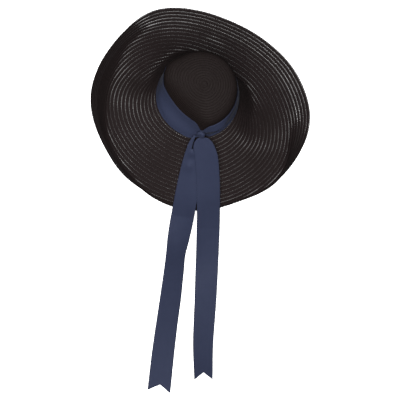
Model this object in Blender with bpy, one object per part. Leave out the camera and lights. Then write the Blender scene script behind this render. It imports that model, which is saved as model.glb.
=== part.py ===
"""Wide straw sun hat with a satin ribbon knotted round its crown.

The hat stands on the edge of its own soft brim, crown up. The brim drops almost straight down behind
the crown and lies out flat there. In front it runs out as a sloping shelf and folds down to the surface.
The ribbon's two tails run forward over that shelf, sink to the surface and lie on it.

Metres, +X to the wearer's side, +Y to the back of the brim, +Z up. Straw is described by its outer face.
"""
from collections import namedtuple
from math import atan2, cos, degrees, exp, pi, radians, sin, sqrt, tanh

import bmesh
import bpy
from mathutils import Vector

# Crown
HEAD_HALF_WIDTH = 0.0885
CROWN_HEIGHT = 0.090
STRAW_WALL = 0.0022

# Brim
BRIM_WIDTH = 0.235
BRAID_PITCH = 0.0092
FIRST_BEND_LENGTH = 0.015
SECOND_BEND_LENGTH = 0.012
BRAID_END_AZIMUTH = 250.0
BRAID_END_TAPER = 24.0

# Ribbon
RIBBON_WIDTH = 0.0525
RIBBON_WALL = 0.0010
KNOT_AZIMUTH = 273.5
KNOT_LENGTH = 0.020
KNOT_DEPTH = 0.021
KNOT_THICKNESS = 0.013
KNOT_FULLNESS = 0.55
KNOT_CREASE = 0.07
KNOT_CREASES = 4
KNOT_SEAT = 0.020
KNOT_GATHER = 0.30
GATHER_SPREAD = 6.5
BAND_LAP = 0.0035
LEFT_TAIL_LENGTH = 0.600
RIGHT_TAIL_LENGTH = 0.562
LEFT_TAIL_HEADING = 9.0
RIGHT_TAIL_HEADING = 0.0
LEFT_TAIL_SIDE = -0.007
RIGHT_TAIL_SIDE = 0.004
TAIL_DROP_RUN = 0.150
TAIL_DROP_SLOPE = 0.55
TAIL_SPREAD_LENGTH = 0.030
KNOT_SETTLE_LENGTH = 0.040
NOTCH_DEPTH = 0.0165
TAIL_STACK = 0.004

# Clearances
SEAM_GAP = 0.0003
WRAP_GAP = 0.0007
TAIL_CLEARANCE = 0.0012
FLOOR_CLEARANCE = 0.0003

# Colours are linear
CROWN_COLOR = (0.020, 0.015, 0.015)
CROWN_ROUGHNESS = 0.6
BRIM_COLOR = (0.016, 0.014, 0.015)
BRIM_ROUGHNESS = 0.35
SATIN_COLOR = (0.032, 0.040, 0.085)
SATIN_ROUGHNESS = 0.45

# Mesh fineness
AROUND_BRIM = 80
ALONG_BRIM = 15
AROUND_CROWN = 64
CROWN_SHARES = (0, 0.12, 0.24, 0.36, 0.49, 0.62, 0.74, 0.84, 0.92, 0.97, 1)
BAND_SHARES = (0, 0.095, 0.32, 0.55, 0.78, 1)
KNOT_SIDES = 18
KNOT_RINGS = 10
KNOT_LAST_RING_ANGLE = 87.0
TAIL_STEPS = 44
TAIL_COLUMNS = 4
DRAPE_STEPS = 40
WALK_STEPS = 4
CLIMB_STEPS = 60
NORMAL_STEP = 0.02
LEVEL_ENOUGH = 0.4

# Slopes are degrees above the level. A bend is where the slope changes, as a share of the brim's width.
BrimStation = namedtuple("BrimStation", "azimuth inner middle outer first_bend second_bend")
BRIM_STATIONS = [
    BrimStation(0.0, -72, -6, -27, 0.42, 0.75),
    BrimStation(22.5, -78, -3, -19, 0.485, 0.73),
    BrimStation(45.0, -86, 0, -20, 0.49, 0.695),
    BrimStation(67.5, -87, 7, -21, 0.507, 0.69),
    BrimStation(90.0, -78, 7, -18, 0.547, 0.725),
    BrimStation(112.5, -73, -1, -22, 0.485, 0.765),
    BrimStation(135.0, -72, -5, -52, 0.355, 0.715),
    BrimStation(157.5, -65, -10, -58, 0.237, 0.59),
    BrimStation(180.0, -42, -15, -67, 0.16, 0.54),
    BrimStation(202.5, -26, -23, -81, 0.12, 0.605),
    BrimStation(225.0, -34, -23, -87, 0.12, 0.65),
    BrimStation(247.5, -42, -24, -102, 0.125, 0.73),
    BrimStation(270.0, -38, -24, -103, 0.13, 0.745),
    BrimStation(292.5, -30, -28, -103, 0.17, 0.745),
    BrimStation(315.0, -37, -27, -98, 0.22, 0.80),
    BrimStation(337.5, -60, -13, -60, 0.31, 0.72),
]

# The crown leans to the back and the right, and its front left side is pressed flat.
# Height is a share of the crown's height, all the rest are shares of the head opening's half width.
# Flat is how far the pressed face lies from the axis of the head opening.
# Shoulder is how much the back left side bulges, as a share of the section's own radius.
CrownSection = namedtuple("CrownSection", "height half_width half_depth shift_right shift_back flat shoulder")
CROWN_SECTIONS = [
    CrownSection(0.00, 1.00, 1.022, 0.00, 0.00, 1.15, 0.0),
    CrownSection(0.17, 0.965, 0.98, 0.02, 0.015, 0.79, 0.02),
    CrownSection(0.37, 0.935, 0.95, 0.045, 0.035, 0.61, 0.055),
    CrownSection(0.55, 0.905, 0.925, 0.055, 0.055, 0.52, 0.08),
    CrownSection(0.69, 0.885, 0.885, 0.065, 0.095, 0.43, 0.08),
    CrownSection(0.82, 0.765, 0.73, 0.09, 0.135, 0.29, 0.06),
    CrownSection(0.92, 0.53, 0.475, 0.12, 0.14, 0.12, 0.03),
    CrownSection(0.98, 0.28, 0.26, 0.15, 0.125, 0.0, 0.0),
    CrownSection(1.00, 0.13, 0.13, 0.155, 0.12, 0.0, 0.0),
]
FLAT_AZIMUTH = 224.0
FLAT_SHARPNESS = 10
SHOULDER_AZIMUTH = 145.0
SHOULDER_SPREAD = 17.0

# Along is a share of the tail's length. Sideways, to the right, is a share of the ribbon's width.
# Tilt turns the ribbon about its own length, in degrees, with its right edge up where positive.
TailStation = namedtuple("TailStation", "along sideways tilt")
Tail = namedtuple("Tail", "name length heading side lift stations")
LEFT_TAIL = Tail("tail_left", LEFT_TAIL_LENGTH, LEFT_TAIL_HEADING, LEFT_TAIL_SIDE, 0.0, [
    TailStation(0.00, 0.00, 0),
    TailStation(0.09, -0.03, 3),
    TailStation(0.19, -0.10, 7),
    TailStation(0.29, -0.15, 4),
    TailStation(0.41, -0.20, -20),
    TailStation(0.47, -0.215, -33),
    TailStation(0.54, -0.18, -31),
    TailStation(0.64, -0.14, -25),
    TailStation(0.74, -0.12, -22),
    TailStation(0.86, -0.08, -14),
    TailStation(1.00, 0.00, -4),
])
RIGHT_TAIL = Tail("tail_right", RIGHT_TAIL_LENGTH, RIGHT_TAIL_HEADING, RIGHT_TAIL_SIDE, TAIL_STACK, [
    TailStation(0.00, 0.00, 0),
    TailStation(0.04, 0.06, -2),
    TailStation(0.08, 0.15, -4),
    TailStation(0.18, 0.23, -5),
    TailStation(0.31, 0.245, -4),
    TailStation(0.46, 0.21, 6),
    TailStation(0.56, 0.17, 10),
    TailStation(0.68, 0.115, 18),
    TailStation(0.86, 0.015, 29),
    TailStation(1.00, 0.03, 38),
])


def clear_scene():
    for old in list(bpy.data.objects):
        bpy.data.objects.remove(old, do_unlink=True)


def plain_material(name, color, roughness):
    """A plain surface in one colour."""
    made = bpy.data.materials.new(name)
    made.use_nodes = True
    shader = made.node_tree.nodes["Principled BSDF"]
    shader.inputs["Base Color"].default_value = (*color, 1.0)
    shader.inputs["Roughness"].default_value = roughness
    shader.inputs["Metallic"].default_value = 0.0
    return made


def read_table(rows, column, where, period=None):
    """Smooth value of one column at a place along the first column."""
    keys = [row[0] for row in rows]
    values = [getattr(row, column) for row in rows]
    if period:
        where = where % period
        keys = [keys[-2] - period, keys[-1] - period] + keys + [keys[0] + period, keys[1] + period]
        values = [values[-2], values[-1]] + values + [values[0], values[1]]
    where = min(max(where, keys[0]), keys[-1])
    last = len(keys) - 1
    low = max(i for i in range(last) if keys[i] <= where)
    high = low + 1
    span = keys[high] - keys[low]

    def slope(i):
        before, after = max(i - 1, 0), min(i + 1, last)
        return (values[after] - values[before]) / (keys[after] - keys[before])

    t = (where - keys[low]) / span
    return (
        values[low] * (1 + 2 * t) * (1 - t) ** 2
        + values[high] * t * t * (3 - 2 * t)
        + slope(low) * span * t * (1 - t) ** 2
        - slope(high) * span * t * t * (1 - t)
    )


def opening_radius(azimuth):
    """Outer radius of the head opening."""
    rim = crown_point(azimuth, 0.0, 0.0)
    return sqrt(rim.x ** 2 + rim.y ** 2)


def brim_reach(azimuth):
    """Width of the brim along its face. The braid is one spiral, so the width falls a pitch in a turn."""
    turn = ((azimuth - BRAID_END_AZIMUTH) % 360) / 360
    spiral = 0.5 - turn
    taper = BRAID_END_TAPER / 360
    if turn < taper:
        share = turn / taper
        spiral -= 1 - share * share * (3 - 2 * share)
    return BRIM_WIDTH + BRAID_PITCH * spiral


def brim_profile(azimuth, steps):
    """Points (radius, height over the head opening) from the opening to the brim's edge."""
    inner, middle, outer, first_bend, second_bend = (
        read_table(BRIM_STATIONS, column, azimuth, 360) for column in BrimStation._fields[1:]
    )
    step = brim_reach(azimuth) / (steps * WALK_STEPS)
    radius, height, walked = opening_radius(azimuth), -SEAM_GAP, 0.0
    points = [(radius, height)]
    for i in range(steps * WALK_STEPS):
        halfway = walked + step / 2
        first = 0.5 * (1 + tanh((halfway - first_bend * BRIM_WIDTH) / FIRST_BEND_LENGTH))
        second = 0.5 * (1 + tanh((halfway - second_bend * BRIM_WIDTH) / SECOND_BEND_LENGTH))
        slope = radians(inner + (middle - inner) * first + (outer - middle) * second)
        radius += step * cos(slope)
        height += step * sin(slope)
        walked += step
        if (i + 1) % WALK_STEPS == 0:
            points.append((radius, height))
    return points


def brim_rings(base_height):
    """Rows of points, one for each azimuth, each running outwards."""
    rings = []
    for i in range(AROUND_BRIM):
        azimuth = 360 * i / AROUND_BRIM
        angle = radians(azimuth)
        profile = brim_profile(azimuth, ALONG_BRIM)
        rings.append([Vector((r * cos(angle), r * sin(angle), base_height + h)) for r, h in profile])
    return rings


def standing_height():
    """Height of the head opening when the brim's lowest point, on its under side, meets the surface."""
    lowest = 0.0
    for i in range(AROUND_BRIM):
        profile = brim_profile(360 * i / AROUND_BRIM, ALONG_BRIM)
        for (radius, height), (next_radius, next_height) in zip(profile, profile[1:]):
            level = (next_radius - radius) / sqrt((next_radius - radius) ** 2 + (next_height - height) ** 2)
            lowest = min(lowest, next_height - STRAW_WALL * max(level, 0.0))
    return -lowest


def crown_point(azimuth, height_share, base_height):
    """A point of the crown's outer face: an oval cut by the pressed face, with a bulge at its shoulder."""
    size = HEAD_HALF_WIDTH + STRAW_WALL
    half_width, half_depth, right, back, flat = (
        size * read_table(CROWN_SECTIONS, column, height_share)
        for column in ("half_width", "half_depth", "shift_right", "shift_back", "flat")
    )
    angle = radians(azimuth)
    facing = radians(FLAT_AZIMUTH)
    oval = sqrt((cos(angle) / half_width) ** 2 + (sin(angle) / half_depth) ** 2)
    room = flat - right * cos(facing) - back * sin(facing)
    pressed = max(cos(angle - facing), 0.0) / room
    radius = (oval ** FLAT_SHARPNESS + pressed ** FLAT_SHARPNESS) ** (-1 / FLAT_SHARPNESS)
    away = (azimuth - SHOULDER_AZIMUTH + 180) % 360 - 180
    bulge = read_table(CROWN_SECTIONS, "shoulder", height_share)
    radius *= 1 + bulge * exp(-((away / SHOULDER_SPREAD) ** 2))
    return Vector((
        radius * cos(angle) + right,
        radius * sin(angle) + back,
        base_height + CROWN_HEIGHT * height_share,
    ))


def crown_normal(azimuth, height_share, base_height):
    """Outward direction of the crown's face."""
    left, right = (crown_point(azimuth + turn, height_share, base_height) for turn in (-1, 1))
    below = crown_point(azimuth, max(height_share - NORMAL_STEP, 0), base_height)
    above = crown_point(azimuth, height_share + NORMAL_STEP, base_height)
    return (right - left).cross(above - below).normalized()


def crown_share_at(azimuth, distance, base_height):
    """Height share of the point that lies this far up the crown's face from the head opening."""
    here = crown_point(azimuth, 0, base_height)
    walked = 0.0
    for i in range(CLIMB_STEPS):
        there = crown_point(azimuth, (i + 1) / CLIMB_STEPS, base_height)
        stride = (there - here).length
        if walked + stride >= distance:
            return (i + (distance - walked) / stride) / CLIMB_STEPS
        walked += stride
        here = there
    return 1.0


def grid_object(name, rows, material, closed, foot_cap=False, top_cap=False):
    """A surface through rows of points, with a flat face over their first or last points where asked."""
    mesh = bpy.data.meshes.new(name)
    work = bmesh.new()
    made = [[work.verts.new(point) for point in row] for row in rows]
    count = len(made)
    for i in range(count if closed else count - 1):
        here, there = made[i], made[(i + 1) % count]
        for j in range(len(here) - 1):
            work.faces.new((here[j], here[j + 1], there[j + 1], there[j]))
    if foot_cap:
        work.faces.new([row[0] for row in made])
    if top_cap:
        work.faces.new([row[-1] for row in reversed(made)])
    work.to_mesh(mesh)
    work.free()
    mesh.shade_smooth()
    mesh.materials.append(material)
    thing = bpy.data.objects.new(name, mesh)
    bpy.context.collection.objects.link(thing)
    return thing


def add_wall(thing, wall, side):
    """Gives a surface its wall, in front of its faces where side is 1 and behind them where it is -1."""
    solidify = thing.modifiers.new("wall", "SOLIDIFY")
    solidify.thickness = wall
    solidify.offset = side
    solidify.use_even_offset = True
    return thing


def make_brim(base_height, material):
    brim = grid_object("brim", brim_rings(base_height), material, closed=True)
    return add_wall(brim, STRAW_WALL, -1)


def make_crown(base_height, material):
    """The dome, closed by a small flat disc at its tip."""
    rows = []
    for i in range(AROUND_CROWN):
        azimuth = -360 * i / AROUND_CROWN
        rows.append([crown_point(azimuth, share, base_height) for share in CROWN_SHARES])
    crown = grid_object("crown", rows, material, closed=True, top_cap=True)
    return add_wall(crown, STRAW_WALL, -1)


def gather(azimuth):
    """Share of the ribbon's width that is spread at this azimuth: it is drawn in at the knot."""
    away = (azimuth - KNOT_AZIMUTH + 180) % 360 - 180
    return 1 - (1 - KNOT_GATHER) * exp(-((away / GATHER_SPREAD) ** 2))


def band_point(azimuth, distance, base_height):
    """A point of the ribbon's inner face: up the crown where distance is positive, else out on the brim."""
    if distance >= 0:
        share = crown_share_at(azimuth, distance, base_height)
        lift = crown_normal(azimuth, share, base_height) * WRAP_GAP
        return crown_point(azimuth, share, base_height) + lift
    (start, _), (end, drop) = brim_profile(azimuth, DRAPE_STEPS)[:2]
    angle = radians(azimuth)
    outwards = Vector((cos(angle), sin(angle), 0))
    along = (outwards * (end - start) + Vector((0, 0, drop + SEAM_GAP))).normalized()
    lift = Vector((-sin(angle), cos(angle), 0)).cross(along) * -WRAP_GAP
    return outwards * start + Vector((0, 0, base_height)) - along * distance + lift


def make_band(base_height, material):
    """The ribbon round the foot of the crown. It covers the seam and is drawn in at the knot."""
    rows = []
    for i in range(AROUND_CROWN):
        azimuth = -360 * i / AROUND_CROWN
        spread = gather(azimuth)
        middle = RIBBON_WIDTH / 2 - BAND_LAP
        middle += (KNOT_SEAT - middle) * (1 - spread) / (1 - KNOT_GATHER)
        reach = [spread * RIBBON_WIDTH * (share - 0.5) for share in BAND_SHARES]
        rows.append([band_point(azimuth, middle + distance, base_height) for distance in reach])
    band = grid_object("ribbon_band", rows, material, closed=True)
    return add_wall(band, RIBBON_WALL, 1)


def knot_frame(base_height):
    """Centre of the knot and its directions: along the band, up the crown's face, and outwards."""
    share = crown_share_at(KNOT_AZIMUTH, KNOT_SEAT, base_height)
    outward = crown_normal(KNOT_AZIMUTH, share, base_height)
    along = Vector((1, 0, 0))
    along = (along - outward * along.dot(outward)).normalized()
    upward = outward.cross(along)
    lift = WRAP_GAP + RIBBON_WALL + SEAM_GAP + KNOT_THICKNESS / 2 * (1 - KNOT_CREASE)
    return crown_point(KNOT_AZIMUTH, share, base_height) + outward * lift, along, upward, outward


def make_knot(base_height, material):
    """A small tight wrap, fuller in the middle, with creases running down it."""
    centre, along, upward, outward = knot_frame(base_height)
    rows = []
    for i in range(KNOT_SIDES):
        turn = 2 * pi * i / KNOT_SIDES
        crease = 1 - KNOT_CREASE * cos(KNOT_CREASES * turn)
        row = []
        for j in range(KNOT_RINGS + 1):
            swing = radians(KNOT_LAST_RING_ANGLE) * (2 * j / KNOT_RINGS - 1)
            thick = cos(swing) ** KNOT_FULLNESS * crease
            row.append(
                centre
                + upward * sin(swing) * KNOT_DEPTH / 2
                + along * cos(turn) * thick * KNOT_LENGTH / 2
                + outward * sin(turn) * thick * KNOT_THICKNESS / 2
            )
        rows.append(row)
    return grid_object("knot", rows, material, closed=True, foot_cap=True, top_cap=True)


def drape_height(x, y, base_height):
    """Height at which ribbon lies over a point: on the brim's shelf, sinking from its fold, or low down."""
    azimuth = degrees(atan2(y, x)) % 360
    radius = sqrt(x * x + y * y)
    profile = brim_profile(azimuth, DRAPE_STEPS)
    level_enough = LEVEL_ENOUGH * brim_reach(azimuth) / DRAPE_STEPS
    fold = max(i for i in range(1, DRAPE_STEPS) if profile[i][0] - profile[i - 1][0] > level_enough)
    fold_radius, fold_height = profile[fold]
    if radius < fold_radius:
        place = max(i for i in range(fold) if profile[i][0] <= max(radius, profile[0][0]))
        (low_radius, low_height), (high_radius, high_height) = profile[place], profile[place + 1]
        share = (radius - low_radius) / (high_radius - low_radius)
        return base_height + low_height + (high_height - low_height) * share + TAIL_CLEARANCE
    beyond = min((radius - fold_radius) / TAIL_DROP_RUN, 1.0)
    fall = base_height + fold_height + TAIL_CLEARANCE - FLOOR_CLEARANCE
    start_slope = TAIL_DROP_SLOPE * TAIL_DROP_RUN
    sunk = fall * (1 + 2 * beyond) * (1 - beyond) ** 2 - start_slope * beyond * (1 - beyond) ** 2
    return FLOOR_CLEARANCE + max(sunk, 0.0)


def tail_runs(tail, start, forward, rightward, base_height):
    """How far ahead of the knot the rows of the tail lie, for equal strides along its slope."""
    stride = tail.length / TAIL_STEPS
    runs = [0.0]
    for i in range(TAIL_STEPS):
        sideways = read_table(tail.stations, "sideways", i / TAIL_STEPS) * RIBBON_WIDTH
        here = start + forward * runs[-1] + rightward * sideways
        there = here + forward * stride
        rise = drape_height(there.x, there.y, base_height) - drape_height(here.x, here.y, base_height)
        runs.append(runs[-1] + stride ** 2 / sqrt(stride ** 2 + rise ** 2))
    return runs


def make_tail(tail, base_height, material):
    """A free end of the ribbon, drawn together at the knot and cut to two points at its end."""
    centre, along, upward, outward = knot_frame(base_height)
    start = centre - upward * (KNOT_DEPTH / 2 + SEAM_GAP) + along * tail.side + outward * tail.lift
    angle = radians(tail.heading)
    forward = Vector((-sin(angle), -cos(angle), 0))
    rightward = Vector((cos(angle), -sin(angle), 0))
    rows = []
    for i, run in enumerate(tail_runs(tail, start, forward, rightward, base_height)):
        share = i / TAIL_STEPS
        sideways = read_table(tail.stations, "sideways", share) * RIBBON_WIDTH
        tilt = radians(read_table(tail.stations, "tilt", share))
        spread = 1 - (1 - KNOT_GATHER) * exp(-((share * tail.length / TAIL_SPREAD_LENGTH) ** 2))
        settle = exp(-run / KNOT_SETTLE_LENGTH)
        half = RIBBON_WIDTH * spread / 2
        row = []
        for j in range(TAIL_COLUMNS + 1):
            across = 1 - 2 * j / TAIL_COLUMNS
            notch = NOTCH_DEPTH * (1 - abs(across)) if i == TAIL_STEPS else 0.0
            place = start + forward * (run - notch) + rightward * (sideways + across * half * cos(tilt))
            height = drape_height(place.x, place.y, base_height) + tail.lift
            height += (start.z - height) * settle
            place.z = height + (across * sin(tilt) + abs(sin(tilt))) * half * (1 - settle)
            row.append(place)
        rows.append(row)
    return add_wall(grid_object(tail.name, rows, material, closed=False), RIBBON_WALL, 1)


def centre_on_origin(pieces):
    """Hangs the pieces on one empty that puts the middle of their plan over the origin."""
    bpy.context.view_layer.update()
    corners = [piece.matrix_world @ Vector(corner) for piece in pieces for corner in piece.bound_box]
    middle = [(min(c[k] for c in corners) + max(c[k] for c in corners)) / 2 for k in (0, 1)]
    lowest = min(c.z for c in corners)
    root = bpy.data.objects.new("hat", None)
    bpy.context.collection.objects.link(root)
    root.location = (-middle[0], -middle[1], -lowest)
    for piece in pieces:
        piece.parent = root


def main():
    clear_scene()
    crown_straw = plain_material("crown_straw", CROWN_COLOR, CROWN_ROUGHNESS)
    brim_straw = plain_material("brim_straw", BRIM_COLOR, BRIM_ROUGHNESS)
    satin = plain_material("ribbon_satin", SATIN_COLOR, SATIN_ROUGHNESS)
    base_height = standing_height()
    pieces = [
        make_crown(base_height, crown_straw),
        make_brim(base_height, brim_straw),
        make_band(base_height, satin),
        make_knot(base_height, satin),
        make_tail(LEFT_TAIL, base_height, satin),
        make_tail(RIGHT_TAIL, base_height, satin),
    ]
    centre_on_origin(pieces)


main()
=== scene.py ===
from collections import namedtuple
from math import cos, pi, radians, sin

import bpy
import numpy as np
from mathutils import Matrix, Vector


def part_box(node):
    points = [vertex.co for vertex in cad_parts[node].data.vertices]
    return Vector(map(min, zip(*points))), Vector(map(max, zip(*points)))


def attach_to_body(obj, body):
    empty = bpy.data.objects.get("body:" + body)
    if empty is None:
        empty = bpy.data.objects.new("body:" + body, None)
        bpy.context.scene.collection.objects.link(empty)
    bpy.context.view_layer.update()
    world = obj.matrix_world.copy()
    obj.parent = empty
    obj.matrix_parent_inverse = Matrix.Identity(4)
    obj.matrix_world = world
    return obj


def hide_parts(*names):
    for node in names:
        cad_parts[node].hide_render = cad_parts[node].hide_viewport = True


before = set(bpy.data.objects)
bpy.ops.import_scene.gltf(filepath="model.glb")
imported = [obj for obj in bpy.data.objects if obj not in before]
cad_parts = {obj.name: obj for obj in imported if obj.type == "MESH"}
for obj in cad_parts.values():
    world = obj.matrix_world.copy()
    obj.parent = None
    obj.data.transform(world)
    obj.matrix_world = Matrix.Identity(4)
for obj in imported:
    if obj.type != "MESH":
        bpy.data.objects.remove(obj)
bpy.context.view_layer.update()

# Straw, in metres and degrees
HEAD_HALF_WIDTH = 0.0885
CROWN_HEIGHT = 0.090
STRAW_WALL = 0.0022
BRIM_WIDTH = 0.235
BRAID_PITCH = 0.0092
FIRST_BEND_LENGTH = 0.015
SECOND_BEND_LENGTH = 0.012
BRAID_END_AZIMUTH = 250.0
BRAID_END_TAPER = 24.0
BRIM_PLAIT = 0.0055
CROWN_BRAID_PITCH = 0.0061
CROWN_PLAIT = 0.0040
BRIM_RELIEF = 0.00016
CROWN_RELIEF = 0.00010

# Ends of the braid: turns past the brim's seam and short of the crown's tip, and radii at the tip in pitches
SEAM_TURNS = 0.4
TIP_TURNS = 1.3
TIP_HOLE = 0.25
TIP_REACH = 1.6

# Ribbon: lengths in metres, azimuths, headings and spreads in degrees, gather and slope as shares
RIBBON_WIDTH = 0.0525
RIBBON_THICKNESS = 0.0005
KNOT_AZIMUTH = 273.5
KNOT_LENGTH = 0.020
KNOT_DEPTH = 0.021
KNOT_THICKNESS = 0.013
KNOT_SEAT = 0.020
KNOT_GATHER = 0.30
GATHER_SPREAD = 6.5
BAND_LAP = 0.0035
LEFT_TAIL_LENGTH = 0.600
RIGHT_TAIL_LENGTH = 0.562
LEFT_TAIL_HEADING = 9.0
RIGHT_TAIL_HEADING = 0.0
LEFT_TAIL_SIDE = -0.007
RIGHT_TAIL_SIDE = 0.004
LEFT_TAIL_OPENING = 0.030
RIGHT_TAIL_OPENING = 0.011
TAIL_DROP_RUN = 0.150
TAIL_DROP_SLOPE = 0.55
KNOT_SETTLE_LENGTH = 0.040
NOTCH_DEPTH = 0.0165
TAIL_STACK = 0.004

# Folds of the ribbon: lengths in metres, the band's azimuths and spreads in degrees, the knot's twist in
# radians, and the rest shares, counts and powers
TAIL_GATHER = 0.36
TAIL_START = 0.2
EASE_LENGTH = 0.040
PLEATS = 3
PLEAT_DEPTH = 0.0008
PLEAT_LENGTH = 0.015
TUCK_ACROSS = -0.30
TUCK_SPREAD = 0.34
TUCK_LENGTH = 0.100
TUCK_HEIGHT = 0.005
UNDERFOLD_ACROSS = -0.45
UNDERFOLD_MIDDLE = 0.018
UNDERFOLD_REACH = 0.022
UNDERFOLD_FULLNESS = 1.8
UNDERFOLD_BACK = 0.3
UNDERFOLD_LIFT = 0.0015
KNOT_FOLDS = 3
KNOT_TWIST = 2.2
KNOT_CREASE = 0.42
KNOT_SWELL = 1.06
KNOT_ROUNDNESS = 0.4
KNOT_COVER = 0.97
BAND_CREASE_DEPTH = 0.008
BAND_CREASE_ACROSS = 0.6
BAND_CREASE_REACH = 0.4
BAND_CREASE_AZIMUTH = 297.0
BAND_CREASE_SPREAD = 17.0
BAND_LIP = 0.003
BAND_LIP_POWER = 4
BAND_LIP_AZIMUTH = 258.0
BAND_LIP_SPREAD = 8.0

# Clearances, in metres
WRAP_GAP = 0.0007
TAIL_CLEARANCE = 0.0012
FLOOR_CLEARANCE = 0.0003

# Fineness of the two grids that the braid is laid on, of the braid and of the ribbon
GRID_AROUND = 1440
GRID_ALONG = 360
CAP_STEPS = 20
TIP_SIDES = 24
ROUTE_STEPS_PER_TURN = 180
SAMPLES_PER_PLAIT = 4
BAND_ROWS = 720
BAND_COLUMNS = 24
KNOT_RINGS = 32
KNOT_SIDES = 56
TAIL_ROWS = 300
TAIL_COLUMNS = 24

# Limits: the least gain in radius that counts as shelf, as a share of a grid step, and two guards in sums
LEVEL_ENOUGH = 0.4
GRID_MARGIN = 1.000001
TINY = 1e-12

# Camera, in metres and degrees, with its lens and sensor in millimetres
CAMERA_ELEVATION = 83.0
CAMERA_PLACE = (0.0013, -0.4922, 3.9702)
CAMERA_LENS = 156.5
SENSOR_WIDTH = 36
CAMERA_REACH = 20

# Light, in metres, degrees and watts. The softboxes make glints only, and the front fill soft light only.
LIGHT_TARGET = (0, 0.2, 0.12)
LIGHT_DISTANCE = 2.2
SOFTBOX_ELEVATION = 60.0
SOFTBOX_HEIGHT = 0.7
Softbox = namedtuple("Softbox", "name azimuth width power")
SOFTBOXES = [
    Softbox("left_softbox", 200.0, 1.1, 26),
    Softbox("right_softbox", 312.0, 1.0, 18),
    Softbox("back_left_softbox", 125.0, 0.7, 7),
    Softbox("back_right_softbox", 58.0, 1.4, 20),
]
FILL_AZIMUTH = 258.0
FILL_ELEVATION = 76.0
FILL_SIZE = 1.4
FILL_POWER = 105
WORLD_STRENGTH = 0.06
WHITE = (1, 1, 1, 1)

# Floor, in metres. It shines by itself, so that it shows pure white.
FLOOR_SIZE = 12
FLOOR_HEIGHT = -0.0006
FLOOR_COLOR = (0.9, 0.9, 0.9, 1)
FLOOR_ROUGHNESS = 0.9
FLOOR_GLOW = 1.0

# Looks of the straw, which changes between dark and light. Varnish lies on each row's outer edge only.
Straw = namedtuple("Straw", "name dark light roughness gloss varnish depth")
STRAWS = [
    Straw("rim_straw", (0.009, 0.0065, 0.0065), (0.014, 0.0105, 0.0105), 0.6, 0.04, 1.0, 0.00005),
    Straw("brim_straw", (0.008, 0.0056, 0.0056), (0.013, 0.0095, 0.0095), 0.6, 0.04, 0.35, 0.00005),
    Straw("crown_straw", (0.005, 0.0036, 0.0034), (0.0115, 0.0083, 0.008), 0.5, 0.06, 0.0, 0.00015),
]
STRAWS_PER_PLAIT = 2.0
STRAW_SLANT = 1.6
NOISE_DETAIL = 3.0
GRAIN_SCALE = 1.7
GRAIN_ROUGHNESS = 0.1
PATCH_SCALE = 9.0

# Varnish. Edge and wear each hold a factor and what is added, for the place across the row and for the shade.
VARNISH_EDGE = (12.0, 4.0)
VARNISH_WEAR = (2.6, -0.75)
VARNISH_IOR = 2.3
VARNISH_ROUGHNESS = 0.2

# Look of the satin. Ribs and threads are counted in a ribbon's width.
SATIN_COLOR = (0.0215, 0.026, 0.049)
SATIN_CLOUD_COLOR = (0.0185, 0.0225, 0.043)
SATIN_ROUGHNESS = 0.5
SATIN_GLOSS = 0.06
SATIN_SHEEN = 0.02
SHEEN_ROUGHNESS = 0.4
RIBS = 90
THREADS = 60
THREAD_SHARE = 0.4
CLOUD_SCALE = 2.5
WEAVE_DEPTH = 0.00002

# Lengths of the brim's braid, each from one turn to another, counted inwards from the braid's end
BrimBraid = namedtuple("BrimBraid", "name start stop straw")
BRIM_LENGTHS = [
    BrimBraid("brim_edge_braid", 0.0, 5.0, "rim_straw"),
    BrimBraid("brim_outer_braid", 5.0, 11.0, "brim_straw"),
    BrimBraid("brim_middle_braid", 11.0, 18.0, "brim_straw"),
    BrimBraid("brim_inner_braid", 18.0, BRIM_WIDTH / BRAID_PITCH + SEAM_TURNS, "brim_straw"),
]

# Slopes are degrees above the level. A bend is where the slope changes, as a share of the brim's width.
# These numbers weren't chosen by hand. They are the rounded answer of a fit to rows and an outline traced in
# the photograph, and so is the camera's place.
BrimStation = namedtuple("BrimStation", "azimuth inner middle outer first_bend second_bend")
BRIM_STATIONS = [
    BrimStation(0.0, -72, -6, -27, 0.42, 0.75),
    BrimStation(22.5, -78, -3, -19, 0.485, 0.73),
    BrimStation(45.0, -86, 0, -20, 0.49, 0.695),
    BrimStation(67.5, -87, 7, -21, 0.507, 0.69),
    BrimStation(90.0, -78, 7, -18, 0.547, 0.725),
    BrimStation(112.5, -73, -1, -22, 0.485, 0.765),
    BrimStation(135.0, -72, -5, -52, 0.355, 0.715),
    BrimStation(157.5, -65, -10, -58, 0.237, 0.59),
    BrimStation(180.0, -42, -15, -67, 0.16, 0.54),
    BrimStation(202.5, -26, -23, -81, 0.12, 0.605),
    BrimStation(225.0, -34, -23, -87, 0.12, 0.65),
    BrimStation(247.5, -42, -24, -102, 0.125, 0.73),
    BrimStation(270.0, -38, -24, -103, 0.13, 0.745),
    BrimStation(292.5, -30, -28, -103, 0.17, 0.745),
    BrimStation(315.0, -37, -27, -98, 0.22, 0.80),
    BrimStation(337.5, -60, -13, -60, 0.31, 0.72),
]

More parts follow.
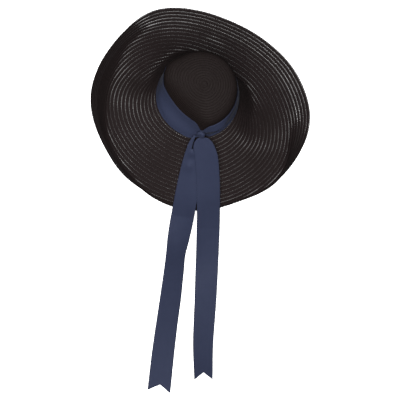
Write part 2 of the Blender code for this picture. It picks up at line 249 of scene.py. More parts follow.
# Height is a share of the crown's height, all the rest are shares of the head opening's half width.
# Flat is how far the pressed face lies from the axis of the head opening.
# Shoulder is how much the back left side bulges, as a share of the section's own radius.
CrownSection = namedtuple(
    "CrownSection", "height half_width half_depth shift_right shift_back flat shoulder",
)
CROWN_SECTIONS = [
    CrownSection(0.00, 1.00, 1.022, 0.00, 0.00, 1.15, 0.0),
    CrownSection(0.17, 0.965, 0.98, 0.02, 0.015, 0.79, 0.02),
    CrownSection(0.37, 0.935, 0.95, 0.045, 0.035, 0.61, 0.055),
    CrownSection(0.55, 0.905, 0.925, 0.055, 0.055, 0.52, 0.08),
    CrownSection(0.69, 0.885, 0.885, 0.065, 0.095, 0.43, 0.08),
    CrownSection(0.82, 0.765, 0.73, 0.09, 0.135, 0.29, 0.06),
    CrownSection(0.92, 0.53, 0.475, 0.12, 0.14, 0.12, 0.03),
    CrownSection(0.98, 0.28, 0.26, 0.15, 0.125, 0.0, 0.0),
    CrownSection(1.00, 0.13, 0.13, 0.155, 0.12, 0.0, 0.0),
]
FLAT_AZIMUTH = 224.0
FLAT_SHARPNESS = 10
SHOULDER_AZIMUTH = 145.0
SHOULDER_SPREAD = 17.0

# Along is a share of the tail's length. Sideways, to the right, is a share of the ribbon's width.
# Tilt turns the ribbon about its own length, in degrees, with its right edge up where positive.
TailStation = namedtuple("TailStation", "along sideways tilt")
LEFT_TAIL_STATIONS = [
    TailStation(0.00, 0.00, 0),
    TailStation(0.09, -0.03, 3),
    TailStation(0.19, -0.10, 7),
    TailStation(0.29, -0.15, 4),
    TailStation(0.41, -0.20, -20),
    TailStation(0.47, -0.215, -33),
    TailStation(0.54, -0.18, -31),
    TailStation(0.64, -0.14, -25),
    TailStation(0.74, -0.12, -22),
    TailStation(0.86, -0.08, -14),
    TailStation(1.00, 0.00, -4),
]
RIGHT_TAIL_STATIONS = [
    TailStation(0.00, 0.00, 0),
    TailStation(0.04, 0.06, -2),
    TailStation(0.08, 0.15, -4),
    TailStation(0.18, 0.23, -5),
    TailStation(0.31, 0.245, -4),
    TailStation(0.46, 0.21, 6),
    TailStation(0.56, 0.17, 10),
    TailStation(0.68, 0.115, 18),
    TailStation(0.86, 0.015, 29),
    TailStation(1.00, 0.03, 38),
]

# Lift raises the whole tail. Opening is the length in which it spreads out from the knot.
Tail = namedtuple("Tail", "name length heading side lift opening folded stations")
LEFT_TAIL = Tail(
    "tail_left", LEFT_TAIL_LENGTH, LEFT_TAIL_HEADING, LEFT_TAIL_SIDE,
    lift=0.0, opening=LEFT_TAIL_OPENING, folded=True, stations=LEFT_TAIL_STATIONS,
)
RIGHT_TAIL = Tail(
    "tail_right", RIGHT_TAIL_LENGTH, RIGHT_TAIL_HEADING, RIGHT_TAIL_SIDE,
    lift=TAIL_STACK, opening=RIGHT_TAIL_OPENING, folded=False, stations=RIGHT_TAIL_STATIONS,
)

# The small soft folds of the left tail below the knot, as shares of the folds' length and height
TuckStation = namedtuple("TuckStation", "along height")
TUCK_STATIONS = [
    TuckStation(0.00, 0.0),
    TuckStation(0.30, 0.0),
    TuckStation(0.42, 1.0),
    TuckStation(0.54, 0.0),
    TuckStation(0.62, 0.2),
    TuckStation(0.74, 0.8),
    TuckStation(0.86, 0.2),
    TuckStation(1.00, 0.0),
    TuckStation(6.00, 0.0),
]

# One row of braid cut across. Across is a share of the pitch from the row's outer edge, height is a share
# of the straw's wall, and relief is how strongly that point rises and falls with each plait.
BraidPoint = namedtuple("BraidPoint", "across height relief")
BRIM_BRAID = [
    BraidPoint(-1.15, -0.72, 0.0),
    BraidPoint(-1.00, -0.58, 0.0),
    BraidPoint(-0.62, -0.44, 0.1),
    BraidPoint(-0.36, -0.43, 0.1),
    BraidPoint(-0.29, -0.33, 0.5),
    BraidPoint(-0.21, -0.06, 0.8),
    BraidPoint(-0.15, 0.03, 1.0),
    BraidPoint(-0.09, 0.02, 1.0),
    BraidPoint(-0.04, -0.09, 0.8),
    BraidPoint(-0.01, -0.26, 0.5),
    BraidPoint(0.00, -0.47, 0.2),
    BraidPoint(-0.12, -0.68, 0.0),
    BraidPoint(-1.10, -1.00, 0.0),
]
CROWN_BRAID = [
    BraidPoint(-1.15, -0.70, 0.0),
    BraidPoint(-0.95, -0.42, 0.0),
    BraidPoint(-0.45, -0.14, 0.5),
    BraidPoint(-0.12, -0.02, 1.0),
    BraidPoint(0.00, -0.22, 0.5),
    BraidPoint(-0.04, -0.50, 0.0),
    BraidPoint(-0.55, -0.72, 0.0),
    BraidPoint(-1.10, -0.95, 0.0),
]

# The disc at the crown's tip. Reach is a share of its radius, and height a share of the straw's wall.
TipRing = namedtuple("TipRing", "reach height")
TIP_RINGS = [
    TipRing(0.2, -0.5),
    TipRing(1.0, -0.75),
    TipRing(1.0, -1.1),
    TipRing(0.2, -1.0),
]


def read_table(rows, column, where, period=None):
    """Smooth values of one column at places along the first column."""
    keys = [row[0] for row in rows]
    values = [getattr(row, column) for row in rows]
    if period:
        keys = [keys[-2] - period, keys[-1] - period] + keys + [keys[0] + period, keys[1] + period]
        values = [values[-2], values[-1]] + values + [values[0], values[1]]
        where = np.mod(where, period)
    keys = np.array(keys)
    values = np.array(values, float)
    slopes = np.empty_like(values)
    slopes[1:-1] = (values[2:] - values[:-2]) / (keys[2:] - keys[:-2])
    slopes[0] = (values[1] - values[0]) / (keys[1] - keys[0])
    slopes[-1] = (values[-1] - values[-2]) / (keys[-1] - keys[-2])
    where = np.clip(where, keys[0], keys[-1])
    low = np.clip(np.searchsorted(keys, where, side="right") - 1, 0, len(keys) - 2)
    span = keys[low + 1] - keys[low]
    t = (where - keys[low]) / span
    return (
        values[low] * (1 + 2 * t) * (1 - t) ** 2
        + values[low + 1] * t * t * (3 - 2 * t)
        + slopes[low] * span * t * (1 - t) ** 2
        - slopes[low + 1] * span * t * t * (1 - t)
    )


def turned_from(azimuth, middle):
    """Degrees from a middle azimuth, the short way round."""
    return (azimuth - middle + 180) % 360 - 180


def unit(vectors):
    """The same directions with a length of one."""
    return vectors / np.maximum(np.linalg.norm(vectors, axis=-1, keepdims=True), TINY)


def crown_xyz(azimuth, share):
    """Points of the crown's outer face over the middle of the head opening."""
    size = HEAD_HALF_WIDTH + STRAW_WALL
    half_width, half_depth, right, back, flat = (
        size * read_table(CROWN_SECTIONS, column, share)
        for column in ("half_width", "half_depth", "shift_right", "shift_back", "flat")
    )
    angle = np.radians(azimuth)
    facing = radians(FLAT_AZIMUTH)
    oval = np.sqrt((np.cos(angle) / half_width) ** 2 + (np.sin(angle) / half_depth) ** 2)
    room = flat - right * cos(facing) - back * sin(facing)
    pressed = np.maximum(np.cos(angle - facing), 0.0) / room
    radius = (oval ** FLAT_SHARPNESS + pressed ** FLAT_SHARPNESS) ** (-1 / FLAT_SHARPNESS)
    away = turned_from(azimuth, SHOULDER_AZIMUTH)
    bulge = read_table(CROWN_SECTIONS, "shoulder", share)
    radius = radius * (1 + bulge * np.exp(-((away / SHOULDER_SPREAD) ** 2)))
    return np.stack([
        radius * np.cos(angle) + right,
        radius * np.sin(angle) + back,
        CROWN_HEIGHT * share,
    ], -1)


Face = namedtuple("Face", "points normals first last")


def make_face(points, first, last):
    """A grid of points with its outward directions. Distance runs from first to last along each line."""
    around = np.roll(points, -1, axis=0) - np.roll(points, 1, axis=0)
    outward = np.gradient(points, axis=1)
    return Face(points, unit(np.cross(outward, around)), first, last)


def on_face(face, azimuth, distance):
    """Points and outward directions of a face at azimuths in degrees and distances along it."""
    lines, steps = face.points.shape[:2]
    row = np.mod(azimuth, 360) / 360 * lines
    column = (distance - face.first) / (face.last - face.first) * (steps - 1)
    column = np.clip(column, 0, steps - GRID_MARGIN)
    i, j = np.floor(row).astype(int), np.floor(column).astype(int)
    across, along = (row - i)[..., None], (column - j)[..., None]
    i %= lines
    found = []
    for grid in (face.points, face.normals):
        near = grid[i, j] * (1 - along) + grid[i, j + 1] * along
        far = grid[(i + 1) % lines, j] * (1 - along) + grid[(i + 1) % lines, j + 1] * along
        found.append(near * (1 - across) + far * across)
    points, normals = found
    return points, unit(normals)


def brim_rings():
    """The brim's outer face round the head opening, from the opening to one pitch past its width."""
    azimuth = np.arange(GRID_AROUND) * 360 / GRID_AROUND
    inner, middle, outer, first_bend, second_bend = (
        read_table(BRIM_STATIONS, column, azimuth, 360)[:, None] for column in BrimStation._fields[1:]
    )
    reach = BRIM_WIDTH + BRAID_PITCH
    step = reach / GRID_ALONG
    halfway = (np.arange(GRID_ALONG) + 0.5)[None, :] * step
    first = 0.5 * (1 + np.tanh((halfway - first_bend * BRIM_WIDTH) / FIRST_BEND_LENGTH))
    second = 0.5 * (1 + np.tanh((halfway - second_bend * BRIM_WIDTH) / SECOND_BEND_LENGTH))
    slope = np.radians(inner + (middle - inner) * first + (outer - middle) * second)
    opening = np.linalg.norm(crown_xyz(azimuth, np.zeros(GRID_AROUND))[:, :2], axis=1)
    start = np.zeros((GRID_AROUND, 1))
    radius = opening[:, None] + np.hstack([start, np.cumsum(np.cos(slope) * step, axis=1)])
    height = np.hstack([start, np.cumsum(np.sin(slope) * step, axis=1)])
    angle = np.radians(azimuth)[:, None]
    return np.stack([radius * np.cos(angle), radius * np.sin(angle), height], -1)


def crown_rings():
    """The crown's outer face from its tip down to the head opening, evenly spaced along each line."""
    azimuth = np.arange(GRID_AROUND) * 360 / GRID_AROUND
    share = 1 - np.linspace(0, 1, GRID_ALONG) ** 2
    lines = np.stack([crown_xyz(azimuth, np.full(GRID_AROUND, s)) for s in share], 1)
    tip = lines[:, 0].mean(axis=0)
    inwards = np.linspace(0, 1, CAP_STEPS)[:-1, None]
    cap = tip + (lines[:, :1] - tip) * inwards[None]
    lines = np.concatenate([cap, lines], axis=1)
    strides = np.linalg.norm(np.diff(lines, axis=1), axis=2)
    walked = np.hstack([np.zeros((GRID_AROUND, 1)), np.cumsum(strides, axis=1)])
    even = np.linspace(0, 1, GRID_ALONG + 1)
    rings = np.empty((GRID_AROUND, GRID_ALONG + 1, 3))
    for i in range(GRID_AROUND):
        for k in range(3):
            rings[i, :, k] = np.interp(even * walked[i, -1], walked[i], lines[i, :, k])
    return rings, walked[:, -1]


def place_on_frame(rings, crown, lines):
    """Moves both faces from the head opening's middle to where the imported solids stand."""
    low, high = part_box("brim")
    shown = rings[:, :lines]
    shift = Vector((
        (low.x + high.x - shown[..., 0].min() - shown[..., 0].max()) / 2,
        (low.y + high.y - shown[..., 1].min() - shown[..., 1].max()) / 2,
        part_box("crown")[1].z - CROWN_HEIGHT,
    ))
    return rings + np.array(shift), crown + np.array(shift), shift


def mesh_object(name, points, faces, material, uv):
    """A smooth mesh in the scene with its material and its UV, which has one place for each point."""
    mesh = bpy.data.meshes.new(name)
    mesh.from_pydata(points.tolist(), [], faces)
    layer = mesh.uv_layers.new(name="UVMap")
    corners = np.empty(len(mesh.loops), np.int32)
    mesh.loops.foreach_get("vertex_index", corners)
    layer.data.foreach_set("uv", uv[corners].astype(np.float32).ravel())
    mesh.shade_smooth()
    mesh.materials.append(material)
    thing = bpy.data.objects.new(name, mesh)
    bpy.context.scene.collection.objects.link(thing)
    return thing


def smooth(share):
    """A soft rise from 0 to 1."""
    share = np.clip(share, 0, 1)
    return share * share * (3 - 2 * share)


def brim_edge(turns):
    """Distance of the outer edge of the braid from the head opening, counted in turns from its end."""
    taper = BRAID_END_TAPER / 360
    tucked = 1 - smooth(turns / taper)
    return BRIM_WIDTH + BRAID_PITCH * (0.5 - turns - tucked)


def tip_disc(crown, radius, material):
    """The small disc of straw that the crown's spiral starts round."""
    azimuth = np.arange(TIP_SIDES) * 360 / TIP_SIDES
    rings = []
    for ring in TIP_RINGS:
        points, normals = on_face(crown, azimuth, np.full(TIP_SIDES, crown.first + radius * ring.reach))
        rings.append(points + normals * ring.height * STRAW_WALL)
    last = len(TIP_RINGS) - 1
    faces = [list(range(TIP_SIDES)), list(range(last * TIP_SIDES, (last + 1) * TIP_SIDES))[::-1]]
    for j in range(last):
        for i in range(TIP_SIDES):
            here, there = j * TIP_SIDES, (j + 1) * TIP_SIDES
            ahead = (i + 1) % TIP_SIDES
            faces.append([here + i, there + i, there + ahead, here + ahead])
    points = np.concatenate(rings)
    return mesh_object("crown_tip", points, faces, material, points[:, :2] / CROWN_BRAID_PITCH)


def braid(name, face, edge, turns, pitch, plait, section, relief, material):
    """One continuous length of braid laid in a spiral, as a closed strip whose rows lap like shingles."""
    start, stop = turns
    rough = np.linspace(start, stop, int((stop - start) * ROUTE_STEPS_PER_TURN) + 1)
    middle, _ = on_face(face, BRAID_END_AZIMUTH + 360 * rough, edge(rough) - pitch / 2)
    walked = np.concatenate([[0], np.cumsum(np.linalg.norm(np.diff(middle, axis=0), axis=1))])
    count = int(walked[-1] / plait * SAMPLES_PER_PLAIT) + 1
    length = np.linspace(0, walked[-1], count)
    turn = np.interp(length, walked, rough)
    azimuth = BRAID_END_AZIMUTH + 360 * turn
    wave = np.cos(2 * pi * length / plait)
    outer = edge(turn)
    columns = []
    marks = []
    innermost = face.first + TIP_HOLE * pitch if face.first < 0 else face.first
    for point in section:
        points, normals = on_face(face, azimuth, np.maximum(outer + point.across * pitch, innermost))
        height = point.height * STRAW_WALL + point.relief * relief * wave
        columns.append(points + normals * height[:, None])
        marks.append(np.stack([length / plait, np.full(count, point.across)], -1))
    sides = len(section)
    points = np.stack(columns, 1).reshape(-1, 3)
    uv = np.stack(marks, 1).reshape(-1, 2)
    i = np.arange(count - 1)[:, None] * sides
    j = np.arange(sides)[None, :]
    ahead = (j + 1) % sides
    faces = np.stack([i + j, i + sides + j, i + sides + ahead, i + ahead], -1).reshape(-1, 4).tolist()
    faces.append(list(range(sides)))
    faces.append(list(range((count - 1) * sides, count * sides))[::-1])
    return mesh_object(name, points, faces, material, uv)


def ribbon_mesh(name, rows, material, closed):
    """A ribbon through rows of points: two faces and the edges between them, with its length in the UV."""
    count, columns = rows.shape[:2]
    along = (np.roll(rows, -1, axis=0) - np.roll(rows, 1, axis=0)) if closed else np.gradient(rows, axis=0)
    across = np.gradient(rows, axis=1)
    top = rows + unit(np.cross(across, along)) * RIBBON_THICKNESS
    points = np.concatenate([rows.reshape(-1, 3), top.reshape(-1, 3)])
    half = count * columns
    faces = []
    last = count if closed else count - 1
    for i in range(last):
        here, there = i * columns, (i + 1) % count * columns
        for j in range(columns - 1):
            faces.append([here + j, there + j, there + j + 1, here + j + 1])
            faces.append([half + here + j, half + here + j + 1, half + there + j + 1, half + there + j])
        right = columns - 1
        faces.append([here, half + here, half + there, there])
        faces.append([here + right, there + right, half + there + right, half + here + right])
    if not closed:
        for j in range(columns - 1):
            foot, head = j, (count - 1) * columns + j
            faces.append([foot, foot + 1, half + foot + 1, half + foot])
            faces.append([head, half + head, half + head + 1, head + 1])
    strides = np.linalg.norm(np.diff(rows[:, columns // 2], axis=0), axis=1)
    walked = np.concatenate([[0], np.cumsum(strides)]) / RIBBON_WIDTH
    share = np.linspace(0, 1, columns)
    flat = np.stack(np.broadcast_arrays(walked[:, None], share[None, :]), -1).reshape(-1, 2)
    return mesh_object(name, points, faces, material, np.concatenate([flat, flat]))


def band_rows(brim, crown, crown_reach):
    """The ribbon round the foot of the crown, drawn in at the knot, with a crease and a lip beside it."""
    azimuth = -np.arange(BAND_ROWS) * 360 / BAND_ROWS
    away = turned_from(azimuth, KNOT_AZIMUTH)
    spread = 1 - (1 - KNOT_GATHER) * np.exp(-((away / GATHER_SPREAD) ** 2))
    middle = RIBBON_WIDTH / 2 - BAND_LAP
    middle = middle + (KNOT_SEAT - middle) * (1 - spread) / (1 - KNOT_GATHER)
    columns = []
    line = np.mod(azimuth, 360) / 360 * GRID_AROUND
    reach = crown_reach[np.round(line).astype(int) % GRID_AROUND]
    creased = np.exp(-((turned_from(azimuth, BAND_CREASE_AZIMUTH) / BAND_CREASE_SPREAD) ** 2))
    lipped = np.exp(-((turned_from(azimuth, BAND_LIP_AZIMUTH) / BAND_LIP_SPREAD) ** 2))
    for share in np.linspace(0, 1, BAND_COLUMNS):
        distance = middle + spread * RIBBON_WIDTH * (share - 0.5)
        on_crown, out_crown = on_face(crown, azimuth, -distance / reach)
        on_brim, out_brim = on_face(brim, azimuth, -distance)
        bent = max(0.0, 1 - abs(share - BAND_CREASE_ACROSS) / BAND_CREASE_REACH)
        crease = BAND_CREASE_DEPTH * creased * bent
        lip = BAND_LIP * lipped * (1 - share) ** BAND_LIP_POWER
        gap = (WRAP_GAP + crease + lip)[:, None]
        up = (distance >= 0)[:, None]
        columns.append(np.where(up, on_crown + out_crown * gap, on_brim + out_brim * gap))
    return np.stack(columns, 1)


def drape_height(brim, shift, x, y):
    """Height at which ribbon lies over a point: on the brim's shelf, sinking from its fold, or low down."""
    x, y = x - shift.x, y - shift.y
    line = np.mod(np.degrees(np.arctan2(y, x)), 360) / 360 * GRID_AROUND
    i = np.round(line).astype(int) % GRID_AROUND
    radius = np.sqrt(x * x + y * y)
    rings = np.hypot(brim.points[..., 0] - shift.x, brim.points[..., 1] - shift.y)
    heights = np.empty_like(radius)
    level = LEVEL_ENOUGH * (brim.last - brim.first) / GRID_ALONG
    for k in range(len(radius)):
        ring, high = rings[i[k]], brim.points[i[k], :, 2]
        fold = np.nonzero(np.diff(ring) > level)[0][-1] + 1
        if radius[k] < ring[fold]:
            heights[k] = np.interp(radius[k], ring[:fold + 1], high[:fold + 1]) + TAIL_CLEARANCE
            continue
        beyond = min((radius[k] - ring[fold]) / TAIL_DROP_RUN, 1.0)
        fall = high[fold] + TAIL_CLEARANCE - FLOOR_CLEARANCE
        sunk = fall * (1 + 2 * beyond) * (1 - beyond) ** 2
        sunk -= TAIL_DROP_SLOPE * TAIL_DROP_RUN * beyond * (1 - beyond) ** 2
        heights[k] = FLOOR_CLEARANCE + max(sunk, 0.0)
    return heights


def knot_frame(crown, crown_reach):
    """Centre of the knot and its directions: along the band, up the crown's face, and outwards."""
    reach = crown_reach[round(KNOT_AZIMUTH / 360 * GRID_AROUND)]
    place, outward = on_face(crown, np.array([KNOT_AZIMUTH]), np.array([-KNOT_SEAT / reach]))
    outward = Vector(outward[0])
    along = Vector((1, 0, 0))
    along = (along - outward * along.dot(outward)).normalized()
    upward = outward.cross(along)
    lift = WRAP_GAP + RIBBON_THICKNESS + KNOT_THICKNESS / 2
    return Vector(place[0]) + outward * lift, along, upward, outward


def ease(heights, reach):
    """Heights smoothed along the tail, so that it bends over the brim's fold without a crease."""
    kernel = np.hanning(2 * reach + 3)[1:-1]
    kernel /= kernel.sum()
    longer = np.pad(heights, ((reach, reach), (0, 0)), mode="reflect", reflect_type="odd")
    return np.stack([np.convolve(column, kernel, mode="valid") for column in longer.T], 1)


def tuck_height(walked, across):
    """The small soft folds below the knot."""
    height = TUCK_HEIGHT * float(read_table(TUCK_STATIONS, "height", walked / TUCK_LENGTH))
    return height * np.exp(-(((across - TUCK_ACROSS) / TUCK_SPREAD) ** 2))


def folded_under(walked):
    """How far the tail's right side is folded under its left side, from 0 to 1."""
    return smooth(UNDERFOLD_FULLNESS * (1 - abs(walked - UNDERFOLD_MIDDLE) / UNDERFOLD_REACH))


def tail_rows(tail, brim, shift, knot):
    """A free end of the ribbon, drawn together at the knot and cut to two points at its end."""
    centre, along, upward, outward = knot
    start = centre - upward * KNOT_DEPTH * TAIL_START + along * tail.side + outward * tail.lift
    angle = radians(tail.heading)
    forward = np.array((-sin(angle), -cos(angle)))
    rightward = np.array((cos(angle), -sin(angle)))
    stride = tail.length / TAIL_ROWS
    across = np.linspace(1, -1, TAIL_COLUMNS + 1)
    plans, heights, risings = [], [], []
    run = 0.0
    origin = np.array(start[:2])
    for i in range(TAIL_ROWS + 1):
        share = i / TAIL_ROWS
        walked = share * tail.length
        sideways = float(read_table(tail.stations, "sideways", share)) * RIBBON_WIDTH
        tilt = radians(float(read_table(tail.stations, "tilt", share)))
        spread = 1 - (1 - TAIL_GATHER) * np.exp(-walked / tail.opening)
        settle = np.exp(-run / KNOT_SETTLE_LENGTH)
        half = RIBBON_WIDTH * spread / 2
        ending = max(0.0, 1 - (tail.length - walked) / NOTCH_DEPTH)
        notch = NOTCH_DEPTH * ending * (1 - np.abs(across))
        under = folded_under(walked) if tail.folded else 0.0
        tuck = tuck_height(walked, across) if tail.folded else 0.0
        past = np.maximum(across - UNDERFOLD_ACROSS, 0)
        placed = (across - under * (1 + UNDERFOLD_BACK) * past) * half * cos(tilt)
        flat = origin + np.outer(run - notch, forward) + np.outer(sideways + placed, rightward)
        lying = drape_height(brim, shift, flat[:, 0], flat[:, 1]) + tail.lift
        plans.append(flat)
        heights.append(lying + (start.z - lying) * settle)
        lean = (across * sin(tilt) + abs(sin(tilt))) * half * (1 - settle)
        pleats = PLEAT_DEPTH * np.cos(PLEATS * pi * across) * np.exp(-walked / PLEAT_LENGTH)
        lifted = UNDERFOLD_LIFT * under * (past <= 0)
        risings.append(lean + pleats + lifted + tuck)
        middle = origin + forward * run + rightward * sideways
        pair = np.array([middle + forward * stride, middle])
        there, here = drape_height(brim, shift, pair[:, 0], pair[:, 1])
        fall = min(abs(there - here), TAIL_DROP_SLOPE * stride)
        run += stride * stride / np.hypot(stride, fall)
    heights = ease(np.array(heights), round(EASE_LENGTH / stride)) + np.array(risings)
    return np.concatenate([np.array(plans), heights[..., None]], -1)


def knot_rows(knot):
    """A small tight wrap with twisted creases running down it."""
    centre, along, upward, outward = (np.array(v) for v in knot)
    turn = 2 * pi * np.arange(KNOT_SIDES) / KNOT_SIDES
    rows = []
    for j in range(KNOT_RINGS + 1):
        swing = pi * (j / KNOT_RINGS - 0.5) * KNOT_COVER
        fold = 0.5 + 0.5 * np.cos(KNOT_FOLDS * turn + KNOT_TWIST * (j / KNOT_RINGS - 0.5))
        thick = np.cos(swing) ** KNOT_ROUNDNESS * (KNOT_SWELL - KNOT_CREASE * fold ** 2)
        rows.append(
            centre + upward * np.sin(swing) * KNOT_DEPTH / 2
            + np.outer(np.cos(turn) * thick, along) * KNOT_LENGTH / 2
            + np.outer(np.sin(turn) * thick, outward) * KNOT_THICKNESS / 2
        )
    return np.array(rows)


def closed_tube(name, rows, material):
    """A skin over rings of points, closed at both ends."""
    count, sides = rows.shape[:2]
    faces = []
    for i in range(count - 1):
        for j in range(sides):
            ahead = (j + 1) % sides
            faces.append([i * sides + j, i * sides + ahead, (i + 1) * sides + ahead, (i + 1) * sides + j])
    faces.append(list(range(sides))[::-1])
    faces.append(list(range((count - 1) * sides, count * sides)))
    grid = np.stack(np.meshgrid(np.linspace(0, 1, count), np.linspace(0, 1, sides), indexing="ij"), -1)
    return mesh_object(name, rows.reshape(-1, 3), faces, material, grid.reshape(-1, 2))


def new_material(name):
    """A new material, its node tree and its main shader."""
    made = bpy.data.materials.new(name)
    made.use_nodes = True
    return made, made.node_tree, made.node_tree.nodes["Principled BSDF"]


def math_node(tree, operation, first, second=None, third=None):
    """A maths node fed with sockets or plain numbers. Returns its result."""
    node = tree.nodes.new("ShaderNodeMath")
    node.operation = operation
    for place, value in enumerate((first, second, third)):
        if value is None:
            continue
        if isinstance(value, bpy.types.NodeSocket):
            tree.links.new(value, node.inputs[place])
        else:
            node.inputs[place].default_value = value
    return node.outputs[0]


def mix_color(tree, share, dark, light):
    """A colour between two. The node's colours are its inputs 6 and 7, and its result is output 2."""
    node = tree.nodes.new("ShaderNodeMix")
    node.data_type = "RGBA"
    tree.links.new(share, node.inputs[0])
    node.inputs[6].default_value = (*dark, 1)
    node.inputs[7].default_value = (*light, 1)
    return node.outputs[2]


def noise(tree, vector, scale):
    """Soft noise over a vector."""
    node = tree.nodes.new("ShaderNodeTexNoise")
    node.inputs["Scale"].default_value = scale
    node.inputs["Detail"].default_value = NOISE_DETAIL
    tree.links.new(vector, node.inputs["Vector"])
    return node.outputs["Fac"]


def uv_axes(tree):
    """The place on the strip, and its two parts: along it and across it."""
    source = tree.nodes.new("ShaderNodeUVMap")
    source.uv_map = "UVMap"
    parts = tree.nodes.new("ShaderNodeSeparateXYZ")
    tree.links.new(source.outputs[0], parts.inputs[0])
    return source.outputs[0], parts.outputs[0], parts.outputs[1]


def bump(tree, shader, height, depth):
    """Fine relief in the shading only."""
    node = tree.nodes.new("ShaderNodeBump")
    node.inputs["Strength"].default_value = 1.0
    node.inputs["Distance"].default_value = depth
    tree.links.new(height, node.inputs["Height"])
    tree.links.new(node.outputs[0], shader.inputs["Normal"])


def straw(look):
    """Plaited straw: slanting straws that meet in the middle of the row, and a varnished outer edge."""
    made, tree, shader = new_material(look.name)
    flat, along, across = uv_axes(tree)
    aside = math_node(tree, "ABSOLUTE", math_node(tree, "ADD", across, 0.5))
    counted = math_node(tree, "MULTIPLY", along, STRAWS_PER_PLAIT)
    slant = math_node(tree, "MULTIPLY_ADD", aside, STRAW_SLANT, counted)
    each = math_node(tree, "PINGPONG", slant, 0.5)
    rounded = math_node(tree, "SINE", math_node(tree, "MULTIPLY", each, pi))
    grain = noise(tree, flat, GRAIN_SCALE)
    place = tree.nodes.new("ShaderNodeNewGeometry").outputs["Position"]
    patches = noise(tree, place, PATCH_SCALE)
    shade = math_node(tree, "MULTIPLY_ADD", patches, 0.5, math_node(tree, "MULTIPLY", grain, 0.5))
    tree.links.new(mix_color(tree, shade, look.dark, look.light), shader.inputs["Base Color"])
    roughness = math_node(tree, "MULTIPLY_ADD", grain, GRAIN_ROUGHNESS, look.roughness)
    tree.links.new(roughness, shader.inputs["Roughness"])
    shader.inputs["Specular IOR Level"].default_value = look.gloss
    if look.varnish:
        edge = math_node(tree, "MULTIPLY_ADD", across, *VARNISH_EDGE)
        edge.node.use_clamp = True
        worn = math_node(tree, "MULTIPLY_ADD", shade, *VARNISH_WEAR)
        worn.node.use_clamp = True
        coat = math_node(tree, "MULTIPLY", math_node(tree, "MULTIPLY", edge, worn), look.varnish)
        tree.links.new(coat, shader.inputs["Coat Weight"])
        shader.inputs["Coat IOR"].default_value = VARNISH_IOR
        shader.inputs["Coat Roughness"].default_value = VARNISH_ROUGHNESS
    bump(tree, shader, rounded, look.depth)
    return made


def satin(name):
    """Woven satin: fine ribs across the ribbon, threads along it, and soft clouds of a darker blue."""
    made, tree, shader = new_material(name)
    flat, along, across = uv_axes(tree)
    ribs = math_node(tree, "SINE", math_node(tree, "MULTIPLY", along, 2 * pi * RIBS))
    threads = math_node(tree, "SINE", math_node(tree, "MULTIPLY", across, 2 * pi * THREADS))
    weave = math_node(tree, "MULTIPLY_ADD", threads, THREAD_SHARE, ribs)
    cloud = noise(tree, flat, CLOUD_SCALE)
    tree.links.new(mix_color(tree, cloud, SATIN_CLOUD_COLOR, SATIN_COLOR), shader.inputs["Base Color"])
    shader.inputs["Roughness"].default_value = SATIN_ROUGHNESS
    shader.inputs["Specular IOR Level"].default_value = SATIN_GLOSS
    shader.inputs["Sheen Weight"].default_value = SATIN_SHEEN
    shader.inputs["Sheen Roughness"].default_value = SHEEN_ROUGHNESS
    bump(tree, shader, weave, WEAVE_DEPTH)
    return made


def add_floor():
    """A floor that shows as pure white and lights nothing."""
    made, _, shader = new_material("floor_white")
    shader.inputs["Base Color"].default_value = FLOOR_COLOR
    shader.inputs["Roughness"].default_value = FLOOR_ROUGHNESS
    shader.inputs["Emission Color"].default_value = WHITE
    shader.inputs["Emission Strength"].default_value = FLOOR_GLOW
    bpy.ops.mesh.primitive_plane_add(size=FLOOR_SIZE, location=(0, 0, FLOOR_HEIGHT))
    floor = bpy.context.object
    floor.name = "floor"
    floor.visible_diffuse = False
    floor.visible_glossy = False
    floor.data.materials.append(made)


def add_light(name, azimuth, elevation, width, height, power):
    """A rectangular lamp that faces the hat."""
    data = bpy.data.lights.new(name, "AREA")
    data.shape = "RECTANGLE"
    data.size, data.size_y = width, height
    data.energy = power
    lamp = bpy.data.objects.new(name, data)
    bpy.context.scene.collection.objects.link(lamp)
    angle, rise = radians(azimuth), radians(elevation)
    away = Vector((cos(angle) * cos(rise), sin(angle) * cos(rise), sin(rise)))
    lamp.location = Vector(LIGHT_TARGET) + away * LIGHT_DISTANCE
    lamp.rotation_euler = away.to_track_quat("Z", "Y").to_euler()
    return lamp


def add_lights():
    """Four softboxes for the glints and one large lamp at the front for the soft light."""
    for box in SOFTBOXES:
        lamp = add_light(box.name, box.azimuth, SOFTBOX_ELEVATION, box.width, SOFTBOX_HEIGHT, box.power)
        lamp.visible_diffuse = False
    fill = add_light("front_fill", FILL_AZIMUTH, FILL_ELEVATION, FILL_SIZE, FILL_SIZE, FILL_POWER)
    fill.visible_glossy = False


def add_world():
    """An even white glow from all sides."""
    world = bpy.data.worlds.new("studio")
    world.use_nodes = True
    world.node_tree.nodes["Background"].inputs["Color"].default_value = WHITE
    world.node_tree.nodes["Background"].inputs["Strength"].default_value = WORLD_STRENGTH
    bpy.context.scene.world = world


def add_camera():
    """The camera of the photograph, with no depth of field."""
    data = bpy.data.cameras.new("camera")
    data.lens = CAMERA_LENS
    data.sensor_width = SENSOR_WIDTH
    data.clip_end = CAMERA_REACH
    camera = bpy.data.objects.new("camera", data)
    bpy.context.scene.collection.objects.link(camera)
    camera.location = CAMERA_PLACE
    camera.rotation_euler = (radians(90 - CAMERA_ELEVATION), 0, 0)
    bpy.context.scene.camera = camera


def attach(piece, node):
    """Hides the solid that a piece stands in for, and makes the piece move with the body."""
    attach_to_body(piece, "root")
    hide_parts(node)


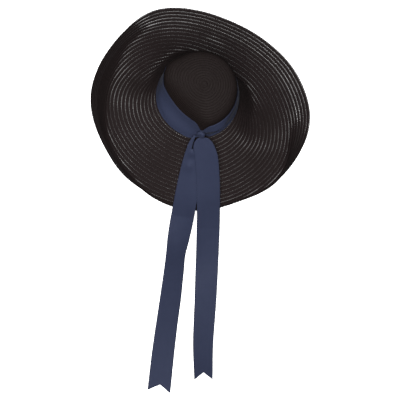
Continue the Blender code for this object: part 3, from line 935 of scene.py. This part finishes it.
def dress_brim(brim, straws):
    """The brim's braid, in lengths that meet end to end."""
    for part in BRIM_LENGTHS:
        piece = braid(
            part.name, brim, brim_edge, (part.start, part.stop),
            BRAID_PITCH, BRIM_PLAIT, BRIM_BRAID, BRIM_RELIEF, straws[part.straw],
        )
        attach(piece, "brim")


def dress_crown(crown, crown_reach, material):
    """The crown's braid and the disc at its tip. Distances are shares of the crown's mean reach."""
    pitch = CROWN_BRAID_PITCH / crown_reach.mean()
    piece = braid(
        "crown_braid", crown, lambda turns: -turns * pitch, (0.0, 1 / pitch - TIP_TURNS),
        pitch, CROWN_PLAIT, CROWN_BRAID, CROWN_RELIEF, material,
    )
    attach(piece, "crown")
    attach(tip_disc(crown, TIP_REACH * pitch, material), "crown")


def dress_ribbon(brim, crown, crown_reach, shift, material):
    """The band round the crown, the knot and the two tails."""
    band = ribbon_mesh("ribbon_band_satin", band_rows(brim, crown, crown_reach), material, closed=True)
    attach(band, "ribbon_band")
    knot = knot_frame(crown, crown_reach)
    wrap = closed_tube("knot_wrap", knot_rows(knot), material)
    attach(wrap, "knot")
    for tail in (LEFT_TAIL, RIGHT_TAIL):
        piece = ribbon_mesh(tail.name + "_satin", tail_rows(tail, brim, shift, knot), material, closed=False)
        attach(piece, tail.name)


def main():
    """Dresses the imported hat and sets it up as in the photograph."""
    bpy.context.scene.view_settings.view_transform = "Standard"
    add_camera()
    rings = brim_rings()
    lines, crown_reach = crown_rings()
    used = round(BRIM_WIDTH / (BRIM_WIDTH + BRAID_PITCH) * GRID_ALONG) + 1
    rings, lines, shift = place_on_frame(rings, lines, used)
    brim = make_face(rings, 0.0, BRIM_WIDTH + BRAID_PITCH)
    crown = make_face(lines, -1.0, 0.0)
    straws = {look.name: straw(look) for look in STRAWS}
    ribbon_satin = satin("ribbon_satin")
    dress_brim(brim, straws)
    dress_crown(crown, crown_reach, straws["crown_straw"])
    dress_ribbon(brim, crown, crown_reach, shift, ribbon_satin)
    add_floor()
    add_lights()
    add_world()


main()
